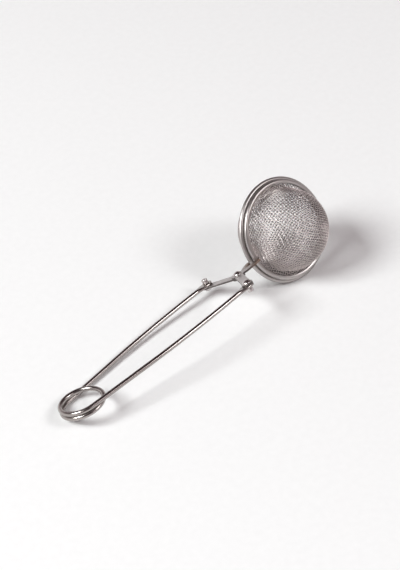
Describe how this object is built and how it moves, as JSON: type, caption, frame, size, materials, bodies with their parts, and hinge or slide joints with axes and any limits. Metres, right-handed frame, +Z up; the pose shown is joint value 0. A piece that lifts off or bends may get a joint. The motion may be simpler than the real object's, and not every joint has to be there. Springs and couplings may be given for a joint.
{
  "type": "tea infuser",
  "caption": "Squeeze tea-ball tongs: a woven-mesh ball in two hinged halves on a sprung wire handle, opened by closing the handle.",
  "frame": {"origin": "middle of the resting tongs' box, on the table under them", "axes": "+X runs along the handle towards the ball, +Y to the back half's side, +Z up; the tongs lie on the back rim, the back dome and the wire coil"},
  "size_m": [0.1758, 0.0456, 0.0445],
  "materials": {
    "wire": "polished drawn stainless wire",
    "levers": "matt stamped stainless strip",
    "rivets": "bright nickel-plated rivets",
    "rims": "bright folded stainless band",
    "mesh": "woven stainless wire cloth"
  },
  "bodies": {
    "handle": {"handle_coil": "wire", "front_arm": "wire"},
    "back_arm": {"back_arm": "wire"},
    "front_half": {"front_lever": "levers", "pivot_rivet": "rivets", "front_arm_rivet": "rivets", "front_rim": "rims", "front_mesh": "mesh"},
    "back_half": {"back_lever": "levers", "back_arm_rivet": "rivets", "back_rim": "rims", "back_mesh": "mesh"}
  },
  "joints": [
    {"name": "squeeze", "type": "hinge", "parent": "handle", "child": "back_arm", "pos_m": [-0.07651, -0.00203, 0.00639], "axis": [0.0759, -0.5524, -0.8301], "range_deg": [0, 5.25], "stiffness_Nm_per_rad": 0.9, "springref_deg": -3.44, "deforming": ["handle_coil"]},
    {"name": "front_swing", "type": "hinge", "parent": "handle", "child": "front_half", "pos_m": [0.01835, -0.01596, 0.02433], "axis": [0.0759, -0.5524, -0.8301], "range_deg": [0, 26.59]},
    {"name": "back_swing", "type": "hinge", "parent": "front_half", "child": "back_half", "pos_m": [0.02706, -0.00203, 0.01586], "axis": [-0.0759, 0.5524, 0.8301], "range_deg": [0, 47.89]}
  ],
  "couplings": [
    {"joint": "front_swing", "follows": "squeeze", "ratio": 5.056},
    {"joint": "back_swing", "follows": "squeeze", "ratio": 9.113}
  ]
}
